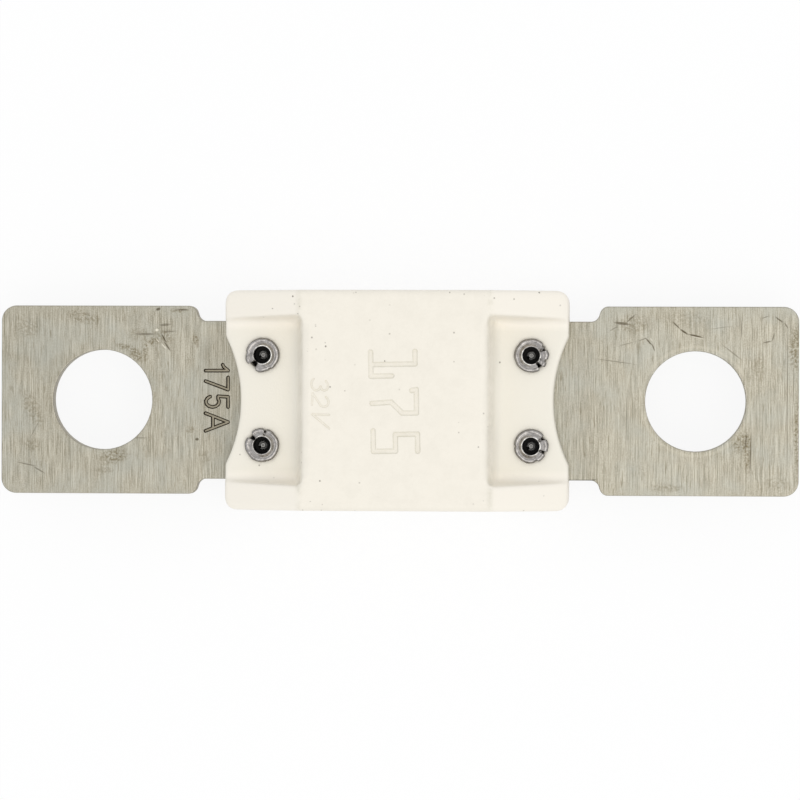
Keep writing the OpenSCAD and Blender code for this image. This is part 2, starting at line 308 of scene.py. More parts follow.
def mouldedPolyester(name, colour, shade):
    material, tree, shader = newMaterial(name, IOR=cover["ior"])
    spot = addNode(tree, "ShaderNodeTexCoord").outputs["Object"]
    mottle = addNode(tree, "ShaderNodeTexNoise", {
        "Vector": spot, "Scale": 1 / (cover["mottle"] * mm), "Detail": 5, "Roughness": 0.75})
    patch = addNode(tree, "ShaderNodeMapRange", {
        "Value": mottle.outputs["Fac"], "From Min": cover["mottleFrom"], "From Max": cover["mottleFull"]})
    base = addNode(tree, "ShaderNodeMix", {
        "Factor": patch.outputs["Result"], "A": hexColour(colour), "B": hexColour(shade)},
        data_type="RGBA")
    # Painted light and shade: the slopes a little lighter, the pockets and the creases where the slopes
    # begin a little darker
    axes = addNode(tree, "ShaderNodeSeparateXYZ", {"Vector": spot})
    along = addNode(tree, "ShaderNodeMath", {0: axes.outputs["X"]}, operation="ABSOLUTE")
    side = addNode(tree, "ShaderNodeMath", {0: axes.outputs["Y"]}, operation="ABSOLUTE")
    within = addNode(tree, "ShaderNodeMapRange", {
        "Value": along.outputs[0], "From Min": cover["pocketFrom"] * mm,
        "From Max": cover["pocketFull"] * mm})
    between = addNode(tree, "ShaderNodeMapRange", {
        "Value": side.outputs[0], "From Min": cover["pocketSideFull"] * mm,
        "From Max": cover["pocketSide"] * mm, "To Min": 1, "To Max": 0})
    # painted light on the slopes
    paintedLight = addNode(tree, "ShaderNodeMix", {
        "Factor": within.outputs["Result"], "A": base.outputs["Result"], "B": hexColour(cover["slope"])},
        data_type="RGBA")
    # painted shade in the pockets
    pocket = addNode(tree, "ShaderNodeMath", {
        0: within.outputs["Result"], 1: between.outputs["Result"]}, operation="MULTIPLY")
    base = addNode(tree, "ShaderNodeMix", {
        "Factor": pocket.outputs[0], "A": paintedLight.outputs["Result"], "B": hexColour(cover["dusty"])},
        data_type="RGBA")
    # painted shade along the creases where the slopes begin
    off = addNode(tree, "ShaderNodeMath", {
        0: along.outputs[0], 1: cover["crease"] * mm}, operation="SUBTRACT")
    gap = addNode(tree, "ShaderNodeMath", {0: off.outputs[0]}, operation="ABSOLUTE")
    line = addNode(tree, "ShaderNodeMapRange", {
        "Value": gap.outputs[0], "From Min": 0, "From Max": cover["creaseReach"] * mm,
        "To Min": cover["creaseShare"], "To Max": 0})
    broken = addNode(tree, "ShaderNodeMath", {
        0: line.outputs["Result"], 1: patch.outputs["Result"]}, operation="MULTIPLY")
    creased = addNode(tree, "ShaderNodeMix", {
        "Factor": broken.outputs[0], "A": base.outputs["Result"], "B": hexColour(cover["grime"])},
        data_type="RGBA")
    # Specks of dirt, rare but for a few places near the edges
    cells = addNode(tree, "ShaderNodeTexVoronoi", {
        "Vector": spot, "Scale": 1 / (cover["speckSpacing"] * mm)})
    dot = addNode(tree, "ShaderNodeMapRange", {
        "Value": cells.outputs["Distance"], "To Min": 1, "To Max": 0,
        "From Min": cover["speckCore"] * cover["speckSize"] / cover["speckSpacing"],
        "From Max": cover["speckSize"] / cover["speckSpacing"]})
    share = addNode(tree, "ShaderNodeMapRange", {
        "Value": side.outputs[0], "From Min": cover["edgeFrom"] * mm, "From Max": cover["edgeFull"] * mm,
        "To Min": cover["speckShare"], "To Max": cover["edgeShare"]}).outputs["Result"]
    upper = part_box("upper_cover")[1].z
    for x, y, length, width, more in coverDirt:
        near = addNode(tree, "ShaderNodeMapping", {
            "Vector": spot, "Location": (x * mm, y * mm, upper),
            "Scale": (length / 2 * mm, width / 2 * mm, cover["dirtDepth"] * mm)}, vector_type="TEXTURE")
        blob = addNode(tree, "ShaderNodeTexGradient", {
            "Vector": near.outputs["Vector"]}, gradient_type="SPHERICAL")
        share = addNode(tree, "ShaderNodeMath", {
            0: blob.outputs["Fac"], 1: cover["dirtShare"] * more, 2: share},
            operation="MULTIPLY_ADD").outputs[0]
    chosen = addNode(tree, "ShaderNodeSeparateColor", {"Color": cells.outputs["Color"]})
    kept = addNode(tree, "ShaderNodeMath", {
        0: chosen.outputs["Red"], 1: share}, operation="LESS_THAN")
    weight = addNode(tree, "ShaderNodeMath", {
        0: kept.outputs[0], 1: dot.outputs["Result"]}, operation="MULTIPLY")
    fade = addNode(tree, "ShaderNodeMath", {
        0: weight.outputs[0], 1: chosen.outputs["Green"]}, operation="MULTIPLY")
    specked = addNode(tree, "ShaderNodeMix", {
        "Factor": fade.outputs[0], "A": creased.outputs["Result"], "B": hexColour(cover["speck"])},
        data_type="RGBA")
    tree.links.new(specked.outputs["Result"], shader.inputs["Base Color"])
    grain = addNode(tree, "ShaderNodeTexNoise", {
        "Vector": spot, "Scale": 1 / (cover["mouldGrain"] * mm), "Detail": 2})
    gloss = addNode(tree, "ShaderNodeMapRange", {
        "Value": grain.outputs["Fac"], "To Min": cover["smooth"], "To Max": cover["rough"]})
    tree.links.new(gloss.outputs["Result"], shader.inputs["Roughness"])
    wave = addNode(tree, "ShaderNodeTexNoise", {
        "Vector": spot, "Scale": 1 / (cover["ripple"] * mm), "Detail": 1})
    low = addNode(tree, "ShaderNodeBump", {
        "Height": wave.outputs["Fac"], "Distance": cover["rippleDepth"] * mm,
        "Strength": cover["rippleShare"]})
    fine = addNode(tree, "ShaderNodeBump", {
        "Height": grain.outputs["Fac"], "Distance": cover["grainDepth"] * mm, "Strength": 1,
        "Normal": low.outputs["Normal"]})
    tree.links.new(fine.outputs["Normal"], shader.inputs["Normal"])
    return material


coverMarks = [                # plain numbers, sunk in the flat top
    ({"text": "175", "x": -1.95, "y": 4.14, "height": 3.76, "width": 2.05, "pitch": 3.39, "climb": 0.06,
      "stroke": 0.52, "depth": 0.12, "taper": 0.5, "over": 0.02, "slant": 0, "turn": 1}, squareShapes),
    ({"text": "32V", "x": -7.02, "y": 2.05, "height": 1.42, "width": 1.1, "pitch": 1.42, "climb": 0.02,
      "stroke": 0.22, "depth": 0.06, "taper": 0.4, "over": 0.02, "slant": 0.16, "turn": 1}, roundShapes),
]


def soften(bm, verts, passes):
    for step in range(passes):
        bmesh.ops.smooth_vert(
            bm, verts=verts, factor=cover["pull"], use_axis_x=True, use_axis_y=True, use_axis_z=True
        )


def softMould(node):  # nothing comes out of a mould with a sharp corner
    piece = meshObject("mould", nodeMesh(node))
    even = piece.modifiers.new("even", "REMESH")
    even.mode = "VOXEL"
    even.voxel_size = cover["even"]
    applyModifiers(piece)
    bm = bmesh.new()
    bm.from_mesh(piece.data)
    bpy.data.objects.remove(piece)
    awayFromSeam = [v for v in bm.verts if abs(v.co.z - cover["seam"]) > cover["seamReach"]]
    soften(bm, bm.verts[:], cover["seamPasses"])
    soften(bm, awayFromSeam, cover["softPasses"] - cover["seamPasses"])
    walls = [
        v for v in bm.verts if cover["wallFrom"] < abs(v.co.x) < cover["wallTo"]
        and abs(v.co.y) < cover["wallSide"] and v.co.z > cover["wallFoot"]
    ]
    soften(bm, walls, cover["wallPasses"])
    bmesh.ops.dissolve_limit(
        bm, angle_limit=math.radians(cover["flat"]), verts=bm.verts, edges=bm.edges
    )
    return bm


def makeCovers():  # both are the same moulding; the lower one is turned over about the strip
    plastic = mouldedPolyester("mouldedPolyester", cover["colour"], cover["shade"])
    # The walls and floors of the numbers are painted a little darker, as painted shade in the grooves
    groove = mouldedPolyester("shadedGroove", cover["groove"], cover["grooveShade"])
    floor = mouldedPolyester("shadedGrooveFloor", cover["grooveFloor"], cover["grooveFloorShade"])
    bm = softMould("upper_cover")
    overSeam = Matrix.Translation((0, 0, 2 * cover["seam"])) @ Matrix.Rotation(math.pi, 4, "X")
    for node, name, marks in (
        ("upper_cover", "upperCoverMoulding", coverMarks), ("lower_cover", "lowerCoverMoulding", [])
    ):
        piece = meshObject(name, bm.copy())
        piece.data.materials.clear()
        piece.data.materials.append(plastic)
        if node == "lower_cover":
            piece.data.transform(overSeam)
        for mark, shapes in marks:
            combine(piece, strokeCutter(mark, shapes, nodeBox(node)[1].z, groove, floor), "DIFFERENCE")
        shadeByAngle(piece, cover["crisp"])
        dress(piece, node)
    bm.free()


# Metal that a steel tool sheared or struck, dark and rough: the sheared edges have gathered dirt since, the
# struck numbers carry painted shade and the rivets' bores painted shadow

dirtyAndShaded = {
    "metallic": 0.7,
    "roughness": 0.55,
    "grime": 0.3,             # mm between its patches
    # Darkest and palest tone
    # painted shade on the walls and floors of the struck numbers
    "shadedStampWall": ("#2A2219", "#4C4134"),
    "shadedStampFloor": ("#857F6E", "#A29B89"),
    "shearedEdge": ("#938D7E", "#B4AE9F"),
    # painted shadow in the rivets' bores
    "shadowedBore": ("#0D0C0C", "#181716"),
    "boreFloor": ("#8A8987", "#B9B8B5"),
}


def dirtyAndShadedMetal(name):
    material, tree, shader = newMaterial(name, Metallic=dirtyAndShaded["metallic"], Roughness=dirtyAndShaded["roughness"])
    spot = addNode(tree, "ShaderNodeTexCoord").outputs["Object"]
    grime = addNode(tree, "ShaderNodeTexNoise", {
        "Vector": spot, "Scale": 1 / (dirtyAndShaded["grime"] * mm), "Detail": 3})
    dark, pale = [hexColour(tone) for tone in dirtyAndShaded[name]]
    mix = addNode(tree, "ShaderNodeMix", {
        "Factor": grime.outputs["Fac"], "A": dark, "B": pale}, data_type="RGBA")
    tree.links.new(mix.outputs["Result"], shader.inputs["Base Color"])
    return material


# Strip: zinc alloy sheet, rolled, plated and wiped, so warm grey with fine marks across it

strip = {
    # Form
    "roll": 0.1,              # mm, radius of an edge
    "rollFrom": 40,           # degrees that an edge bends
    "rollSteps": 2,
    "shearedBelow": 0.8,      # upward share of the normal of a face that the die sheared
    "neckSide": 6.8,          # mm, half the width of a neck
    "shoulder": 19,           # mm from the middle; the shoulders of the tabs lie nearer
    "lean": 18,               # degrees that their flanks lean outwards
    "crisp": 32,              # degrees; an edge that bends more is shaded sharp
    # Look
    "light": "#BAB6A9",
    "dark": "#868273",
    "cool": "#A3A59E",        # patches that the plating leaves bluer
    "stain": "#6F664F",
    "scratch": "#5A5345",
    "glint": "#E6E2D4",
    "worn": "#BDB8A9",        # where a washer turned
    "smooth": 0.4,            # roughness where the grain is light
    "rough": 0.56,            # and where it is dark
    "grainWidth": 0.05,       # mm across a mark of the grain, coarser than the real one so that it shows
    "grainLength": 2.6,       # mm along it
    "grainDepth": 0.004,      # mm
    "streakWidth": 0.09,      # longer marks between them
    "streakLength": 9,
    "streakShare": 0.28,
    "grit": 0.07,             # mm, pits as wide as long
    "gritShare": 0.35,
    "darkBelow": 0.42,        # of the noise; between these two the colour goes from dark to light
    "lightAbove": 0.58,
    "cloud": 3.2,             # mm between the bluer patches
    "cloudFrom": 0.42,        # of the noise
    "cloudFull": 0.68,
    "cloudShare": 0.5,
    "dashWidth": 0.07,        # mm, dark pits drawn out by the rolling
    "dashLength": 1.3,
    "dashFrom": 0.63,         # of the noise
    "dashFull": 0.72,
    "dashShare": 0.6,
    "holeX": 25.5,            # mm
    "washer": 4.66,           # mm, radius of the ring that a washer wore round the right hole
    "washerLine": 0.05,       # mm to each side of it
    "washerFade": 0.16,
    "washerShare": 0.25,
    "blotch": 0.22,           # mm, grain of a smudge
    "blotchFrom": 0.44,       # of the noise
    "blotchFull": 0.58,
    "blotchShare": 0.9,
    "wearDepth": 0.3,         # mm under the face that wear reaches
    "wearAndGlintFull": 0.5,          # share of its reach where wear is full
}
# Wear on the upper face, and painted shade on the necks beside the covers: x and y of its middle, length and
# width in mm, turn in degrees, strength
stripSmudges = [
    (-23.6, 4.5, 1.9, 0.7, -15, 1.0), (-22.6, 3.9, 2.1, 1.1, -50, 1.0), (-21.8, 4.3, 2.4, 0.6, 92, 1.0),
    (-21.1, 5.0, 1.2, 0.9, 0, 1.0), (-20.3, 5.5, 2.6, 1.6, -30, 0.6), (-22.4, 5.6, 2.4, 1.4, 0, 0.4),
    (-27.2, 7.1, 3.4, 1.4, -12, 0.7), (-24.5, -4.9, 3.4, 1.6, 12, 0.9), (-25.3, -6.1, 1.8, 0.6, 0, 0.7),
    (-31.6, -0.8, 1.6, 4.2, 25, 0.6), (-17.4, 5.1, 1.5, 0.6, -80, 1.0), (-32.0, 6.2, 3.0, 2.0, 10, 0.5),
    (-34.3, 3.8, 1.0, 0.4, 90, 1.0), (-17.9, -2.6, 1.0, 0.8, 0, 0.6), (-16.6, -5.0, 1.2, 1.6, 0, 0.5),
    (-18.9, 7.7, 1.8, 0.5, 0, 1.0), (-27.0, -0.2, 9.8, 9.8, 0, 0.2), (-31.6, -3.9, 1.8, 1.4, 0, 0.6),
    (34.0, 4.5, 4.8, 1.5, 90, 1.0), (34.2, -3.0, 8.4, 0.8, 90, 1.0), (29.4, -3.5, 1.8, 2.4, -38, 0.9),
    (24.5, 7.0, 5.4, 1.8, 0, 0.4), (20.2, 6.6, 3.4, 2.0, 0, 0.6), (29.9, -4.4, 0.9, 4.6, 0, 0.9),
    (30.9, 3.0, 1.4, 3.0, 0, 0.5), (23.0, -7.4, 3.6, 0.9, 0, 0.6), (32.4, -7.0, 2.6, 1.4, 0, 0.5),
]
stripScratches = [
    (-21.8, 5.65, 2.2, 0.24, 0, 0.6), (-20.2, 5.3, 1.0, 0.16, -61, 1.0), (-20.1, 6.45, 1.2, 0.3, 5, 0.6),
    (-19.8, 5.87, 1.6, 0.2, 3, 0.5), (-19.9, 4.6, 1.2, 0.2, -55, 0.8), (-18.6, 7.75, 1.4, 0.16, 0, 0.8),
    (-20.7, 7.8, 0.5, 0.3, 20, 0.9), (-32.1, -5.6, 2.2, 0.13, -12, 0.6), (-31.0, -6.1, 1.4, 0.16, -30, 0.6),
    (-31.4, -2.6, 1.9, 0.14, 62, 0.4), (-28.5, 2.0, 6.0, 0.1, 88, 0.4), (-18.9, -3.0, 5.0, 0.1, 91, 0.4),
    # the last entry on the next row is painted shade on the left neck beside the covers
    (-22.3, -3.3, 2.0, 0.14, 0, 0.4), (-17.3, -3.4, 0.4, 0.3, 0, 0.9), (-15.2, 0, 4.6, 19, 0, 0.13),
    (19.2, 6.65, 1.6, 0.3, -8, 0.8), (20.0, 7.1, 1.2, 0.16, 42, 0.7), (18.5, 6.2, 1.0, 0.13, 30, 0.5),
    (23.85, 6.5, 1.0, 0.15, -44, 0.9), (24.5, 5.95, 1.0, 0.2, -34, 1.0), (25.5, 5.6, 1.5, 0.2, -13, 1.0),
    (21.5, 5.1, 1.0, 0.16, -48, 0.9), (21.0, 5.3, 1.0, 0.12, 20, 0.6), (21.9, 4.6, 0.8, 0.14, -70, 0.8),
    (19.6, 4.9, 1.6, 0.12, 15, 0.4), (31.6, 5.1, 0.9, 0.16, 12, 0.7), (32.1, 5.5, 0.8, 0.14, 75, 0.6),
    (32.6, 7.0, 1.0, 0.16, -36, 0.8), (33.2, 6.5, 0.7, 0.14, -60, 0.7), (31.4, 7.2, 0.8, 0.13, 20, 0.5),
    (29.8, -3.4, 1.7, 0.2, 86, 0.7), (30.2, -4.4, 4.2, 0.12, 88, 0.8), (33.3, 0.2, 15.6, 0.1, 90, 0.6),
    (19.6, -2.0, 6.5, 0.1, 89, 0.4), (18.6, 3.4, 4.4, 0.1, -8, 0.5), (27.6, 6.3, 2.4, 0.1, 8, 0.35),
    # the last entry on the next row is painted shade on the right neck beside the covers
    (29.4, 6.2, 2.0, 0.12, 90, 0.6), (28.6, 4.2, 2.6, 0.14, -38, 0.5), (15.4, 0, 4.0, 19, 0, 0.08),
]
stripGlints = [
    (-20.8, 6.0, 0.36, 0.3, 0, 0.6), (-20.75, 5.1, 0.6, 0.1, -52, 0.5), (-20.2, 4.6, 0.8, 0.12, -48, 0.5),
    (25.7, 5.45, 1.3, 0.12, -13, 0.25), (21.7, 5.3, 0.5, 0.12, -48, 0.3),
]


def rolledZinc():
    material, tree, shader = newMaterial("platedRolledZinc", Metallic=1.0)
    spot = addNode(tree, "ShaderNodeTexCoord").outputs["Object"]
    layers = []
    for name, width, length, detail in (
        ("grain", strip["grainWidth"], strip["grainLength"], 3),
        ("streak", strip["streakWidth"], strip["streakLength"], 2),
        ("dash", strip["dashWidth"], strip["dashLength"], 1),
    ):
        scale = (1 / (width * mm), 1 / (length * mm), 1 / (3 * width * mm))
        stretch = addNode(tree, "ShaderNodeMapping", {"Vector": spot, "Scale": scale})
        layers.append(addNode(tree, "ShaderNodeTexNoise", {
            "Vector": stretch.outputs["Vector"], "Scale": 1, "Detail": detail, "Roughness": 0.6},
            label=name))
    grain, streak, dash = layers
    grit = addNode(tree, "ShaderNodeTexNoise", {
        "Vector": spot, "Scale": 1 / (strip["grit"] * mm), "Detail": 2, "Roughness": 0.7})
    drawn = addNode(tree, "ShaderNodeMix", {
        "Factor": strip["streakShare"], "A": grain.outputs["Fac"], "B": streak.outputs["Fac"]},
        data_type="FLOAT")
    both = addNode(tree, "ShaderNodeMix", {
        "Factor": strip["gritShare"], "A": drawn.outputs["Result"], "B": grit.outputs["Fac"]},
        data_type="FLOAT")
    spread = addNode(tree, "ShaderNodeMapRange", {
        "Value": both.outputs["Result"], "From Min": strip["darkBelow"],
        "From Max": strip["lightAbove"]})
    colour = addNode(tree, "ShaderNodeMix", {
        "Factor": spread.outputs["Result"], "A": hexColour(strip["dark"]), "B": hexColour(strip["light"])},
        data_type="RGBA").outputs["Result"]
    cloud = addNode(tree, "ShaderNodeTexNoise", {
        "Vector": spot, "Scale": 1 / (strip["cloud"] * mm), "Detail": 4})
    cool = addNode(tree, "ShaderNodeMapRange", {
        "Value": cloud.outputs["Fac"], "From Min": strip["cloudFrom"],
        "From Max": strip["cloudFull"], "To Max": strip["cloudShare"]})
    pit = addNode(tree, "ShaderNodeMapRange", {
        "Value": dash.outputs["Fac"], "From Min": strip["dashFrom"],
        "From Max": strip["dashFull"], "To Max": strip["dashShare"]})
    # Bare metal where a washer turned on the right tab
    hub = addNode(tree, "ShaderNodeMapping", {
        "Vector": spot, "Location": (strip["holeX"] * mm, 0, 0), "Scale": (mm, mm, 1)},
        vector_type="TEXTURE")
    flat = addNode(tree, "ShaderNodeVectorMath", {
        0: hub.outputs["Vector"], 1: (1, 1, 0)}, operation="MULTIPLY")
    reach = addNode(tree, "ShaderNodeVectorMath", {0: flat.outputs["Vector"]}, operation="LENGTH")
    away = addNode(tree, "ShaderNodeMath", {
        0: reach.outputs["Value"], 1: strip["washer"]}, operation="SUBTRACT")
    ring = addNode(tree, "ShaderNodeMath", {0: away.outputs[0]}, operation="ABSOLUTE")
    worn = addNode(tree, "ShaderNodeMapRange", {
        "Value": ring.outputs[0], "From Min": strip["washerLine"], "From Max": strip["washerFade"],
        "To Min": strip["washerShare"], "To Max": 0})
    for amount, tint in (
        (cool.outputs["Result"], strip["cool"]), (pit.outputs["Result"], strip["stain"]),
        (worn.outputs["Result"], strip["worn"]),
    ):
        colour = addNode(tree, "ShaderNodeMix", {
            "Factor": amount, "A": colour, "B": hexColour(tint)}, data_type="RGBA").outputs["Result"]
    blotch = addNode(tree, "ShaderNodeTexNoise", {
        "Vector": spot, "Scale": 1 / (strip["blotch"] * mm), "Detail": 5, "Roughness": 0.75})
    broken = addNode(tree, "ShaderNodeMapRange", {
        "Value": blotch.outputs["Fac"], "From Min": strip["blotchFrom"],
        "From Max": strip["blotchFull"], "To Max": strip["blotchShare"]})
    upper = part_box("fuse_strip")[1].z
    for marks, tint, rough in (
        (stripSmudges, strip["stain"], True), (stripScratches, strip["scratch"], False),
        (stripGlints, strip["glint"], False),
    ):
        for x, y, length, width, turn, strength in marks:
            near = addNode(tree, "ShaderNodeMapping", {
                "Vector": spot, "Location": (x * mm, y * mm, upper),
                "Rotation": (0, 0, math.radians(turn)),
                "Scale": (length / 2 * mm, width / 2 * mm, strip["wearDepth"] * mm)},
                vector_type="TEXTURE")
            blob = addNode(tree, "ShaderNodeTexGradient", {
                "Vector": near.outputs["Vector"]}, gradient_type="SPHERICAL")
            amount = addNode(tree, "ShaderNodeMapRange", {
                "Value": blob.outputs["Fac"], "From Max": strip["wearAndGlintFull"],
                "To Max": strength}).outputs["Result"]
            if rough:
                amount = addNode(tree, "ShaderNodeMath", {
                    0: amount, 1: broken.outputs["Result"]}, operation="MULTIPLY").outputs[0]
            colour = addNode(tree, "ShaderNodeMix", {
                "Factor": amount, "A": colour, "B": hexColour(tint)}, data_type="RGBA").outputs["Result"]
    tree.links.new(colour, shader.inputs["Base Color"])
    gloss = addNode(tree, "ShaderNodeMapRange", {
        "Value": both.outputs["Result"], "From Min": 0.3, "From Max": 0.7,
        "To Min": strip["rough"], "To Max": strip["smooth"]})
    tree.links.new(gloss.outputs["Result"], shader.inputs["Roughness"])
    bump = addNode(tree, "ShaderNodeBump", {
        "Height": grain.outputs["Fac"], "Distance": strip["grainDepth"] * mm, "Strength": 0.6})
    tree.links.new(bump.outputs["Normal"], shader.inputs["Normal"])
    return material


stripMark = {                 # struck into the left tab, again plain numbers
    "text": "175A", "x": -16.58, "y": 3.05, "height": 1.95, "width": 1.1, "pitch": 1.45, "climb": 0,
    "stroke": 0.36, "depth": 0.16, "taper": 0.6, "over": 0.02, "slant": 0, "turn": 0,
}


def leanShoulders(bm):  # the die cut their flanks a little aslant
    for side in (-1, 1):
        for end in (-1, 1):
            flank = [
                v for v in bm.verts
                if 0 < end * v.co.x < strip["shoulder"] and side * v.co.y > strip["neckSide"]
            ]
            share = side * end * math.tan(math.radians(strip["lean"]))
            lean = Matrix((
                (1, share, 0, -share * side * strip["neckSide"]),
                (0, 1, 0, 0),
                (0, 0, 1, 0),
                (0, 0, 0, 1),
            ))
            bmesh.ops.transform(bm, matrix=lean, verts=flank)


def makeStrip():
    # the walls and floors of the struck numbers are painted dark, as painted shade
    wall = dirtyAndShadedMetal("shadedStampWall")
    floor = dirtyAndShadedMetal("shadedStampFloor")
    sheared = dirtyAndShadedMetal("shearedEdge")
    bm = nodeMesh("fuse_strip")
    leanShoulders(bm)
    piece = meshObject("stampedStrip", bm)
    piece.data.materials.append(rolledZinc())
    rollEdges(
        piece, lambda edge: strip["roll"] if bendOf(edge) > strip["rollFrom"] else 0, strip["rollSteps"]
    )
    piece.data.materials.append(sheared)
    for face in piece.data.polygons:
        face.material_index = 1 if abs(face.normal.z) < strip["shearedBelow"] else 0
    mark = strokeCutter(stripMark, roundShapes, nodeBox("fuse_strip")[1].z, wall, floor)
    combine(piece, mark, "DIFFERENCE")
    shadeByAngle(piece, strip["crisp"])
    dress(piece, "fuse_strip")


# Rivets: low carbon steel, zinc plated, rolled over a die; the roll carries a painted highlight on its
# crests and painted shade in its grooves and at its foot

rivet = {
    # Form, in mm
    "shank": 1.12,
    "tube": 0.71,             # radius of the bore
    "rim": 1.455,             # radius of the roll
    "rimHeight": 0.55,
    "head": 1.85,
    "headHeight": 0.6,
    "headRoll": 0.25,
    "headSteps": 4,
    "steps": 120,             # faces round a rivet
    "foot": 0.02,             # over the pocket's floor, where the roll starts
    "boreEdge": 0.2,          # over it, where the bore starts to open
    "lip": 0.42,              # over it, where the painted shadow in the bore ends
    "tubeDepth": 1,           # under it
    "disc": 0.41,             # radius of the disc that the tool left in the bore
    "pip": 0.5,               # its height
    "ringFrom": 0.22,         # radii of the bright ring on it
    "ringTo": 0.39,
    "ringBreak": -150,        # degrees, where that ring is broken
    "breakReach": 22,         # degrees to each side
    "pipSpot": 0.16,          # radius of the bright spot in its middle
    "even": 0.03,             # past the bore, where the roll is still even
    "hammer": 0.055,          # how far the roll wanders
    "hammerWaves": 1.6,       # per mm
    "sink": 0.75,             # share of its height that a torn stretch loses
    "slack": 0.01,            # by which points are told apart
    "crisp": 50,              # degrees; an edge that bends more is shaded sharp
    # Look
    "bright": "#F2F1EE",      # painted highlight on the crests of the roll
    "plain": "#A9A6A4",
    "dark": "#63605D",        # painted shade in the grooves and at the foot of the roll, and the tone of its darker patches
    "smooth": 0.16,           # roughness where it was rubbed
    "rough": 0.34,
    "floor": 7.65,            # mm, height of the pocket's floor that the roll lies on
    "levels": (0.16, 0.24, 0.38, 0.47, 0.54),   # mm over that floor, from the painted shade through plain to the painted highlight
    "headTop": 5,             # mm, height under which the plain plating shows most
    "headShare": 0.7,
    "rub": 0.36,              # mm between rubbed patches
    "rubFrom": 0.4,           # of the noise
    "rubFull": 0.7,
    "rubShare": 0.6,
    "rubDepth": 0.06,         # mm
    "rubStrength": 0.8,
    "wear": 1.1,              # mm between the patches where the painted highlight is strongest
    "glintFrom": 0.42,         # of the noise
    "wearAndGlintFull": 0.58,
    "glintLeast": 0.15,
}
# The roll's outer bead, groove and inner lip, as its tool left them: mm inwards from the rim, and up
# from the pocket's floor
rollProfile = [
    (0.09, 0.02), (0.02, 0.1), (0, 0.2), (0.03, 0.29), (0.08, 0.35), (0.14, 0.385), (0.2, 0.4),
    (0.26, 0.39), (0.31, 0.365), (0.35, 0.345), (0.39, 0.345), (0.43, 0.37), (0.48, 0.4), (0.54, 0.44),
    (0.59, 0.49), (0.63, 0.535), (0.66, 0.55), (0.69, 0.54), (0.715, 0.5), (0.73, 0.42),
]
# The disc in the bore: mm inwards from its edge, and down from its crest
discProfile = [(0.04, 0.06), (0.1, 0), (0.17, 0.04), (0.22, 0.1), (0.32, 0.1), (0.37, 0.16)]
# Each roll tore as it opened: angle of a tear, half its width in degrees, its depth as a share
# of the rim, and petals that stand out: the same with the share that they reach past the rim
rivetTears = {
    "rivet_left_back": [
        (-131, 15, 0.95), (-62, 7, 0.12), (172, 6, 0.12), (-100, 15, -0.06), (-162, 14, -0.1)],
    "rivet_left_front": [(141, 10, 0.85), (77, 5, 0.4), (118, 10, -0.04), (172, 12, -0.08)],
    "rivet_right_back": [
        (-52, 8, 0.8), (24, 5, 0.5), (38, 6, 0.25), (-20, 6, 0.25), (2, 9, -0.08), (-36, 6, -0.06)],
    "rivet_right_front": [(33, 7, 0.5), (-26, 7, 0.6), (4, 14, -0.06), (180, 6, 0.1), (-70, 7, 0.14)],
}


def clinchedSteel():
    material, tree, shader = newMaterial("clinchedPlatedSteel", Metallic=1.0)
    spot = addNode(tree, "ShaderNodeTexCoord").outputs["Object"]
    rub = addNode(tree, "ShaderNodeTexNoise", {
        "Vector": spot, "Scale": 1 / (rivet["rub"] * mm), "Detail": 3})
    axes = addNode(tree, "ShaderNodeSeparateXYZ", {"Vector": spot})
    low, mid, flat, high, crest = [(rivet["floor"] + level) * mm for level in rivet["levels"]]
    # painted shade low on the roll, painted highlight on its crests
    rise = addNode(tree, "ShaderNodeMapRange", {
        "Value": axes.outputs["Z"], "From Min": mid, "From Max": flat})
    paintedLight = addNode(tree, "ShaderNodeMapRange", {
        "Value": axes.outputs["Z"], "From Min": high, "From Max": crest})
    foot = addNode(tree, "ShaderNodeMapRange", {
        "Value": axes.outputs["Z"], "From Min": rivet["headTop"] * mm, "From Max": low,
        "To Min": rivet["headShare"], "To Max": 0})
    shadedRoll = addNode(tree, "ShaderNodeMix", {
        "Factor": rise.outputs["Result"], "A": hexColour(rivet["dark"]), "B": hexColour(rivet["plain"])},
        data_type="RGBA")
    # The flat heads below lie in daylight too, so they keep most of the plain plating and little of the
    # painted shade
    plain = addNode(tree, "ShaderNodeMix", {
        "Factor": foot.outputs["Result"], "A": shadedRoll.outputs["Result"], "B": hexColour(rivet["plain"])},
        data_type="RGBA")
    # the painted highlight is strongest in patches
    worn = addNode(tree, "ShaderNodeTexNoise", {
        "Vector": spot, "Scale": 1 / (rivet["wear"] * mm), "Detail": 1})
    where = addNode(tree, "ShaderNodeMapRange", {
        "Value": worn.outputs["Fac"], "From Min": rivet["glintFrom"],
        "From Max": rivet["wearAndGlintFull"], "To Min": rivet["glintLeast"]})
    lip = addNode(tree, "ShaderNodeMath", {
        0: paintedLight.outputs["Result"], 1: where.outputs["Result"]}, operation="MULTIPLY")
    shine = addNode(tree, "ShaderNodeMix", {
        "Factor": lip.outputs[0], "A": plain.outputs["Result"], "B": hexColour(rivet["bright"])},
        data_type="RGBA")
    patch = addNode(tree, "ShaderNodeMapRange", {
        "Value": rub.outputs["Fac"], "From Min": rivet["rubFrom"],
        "From Max": rivet["rubFull"], "To Max": rivet["rubShare"]})
    mix = addNode(tree, "ShaderNodeMix", {
        "Factor": patch.outputs["Result"], "A": shine.outputs["Result"], "B": hexColour(rivet["dark"])},
        data_type="RGBA")
    tree.links.new(mix.outputs["Result"], shader.inputs["Base Color"])
    gloss = addNode(tree, "ShaderNodeMapRange", {
        "Value": rub.outputs["Fac"], "To Min": rivet["rough"], "To Max": rivet["smooth"]})
    tree.links.new(gloss.outputs["Result"], shader.inputs["Roughness"])
    bump = addNode(tree, "ShaderNodeBump", {
        "Height": rub.outputs["Fac"], "Distance": rivet["rubDepth"] * mm,
        "Strength": rivet["rubStrength"]})
    tree.links.new(bump.outputs["Normal"], shader.inputs["Normal"])
    return material


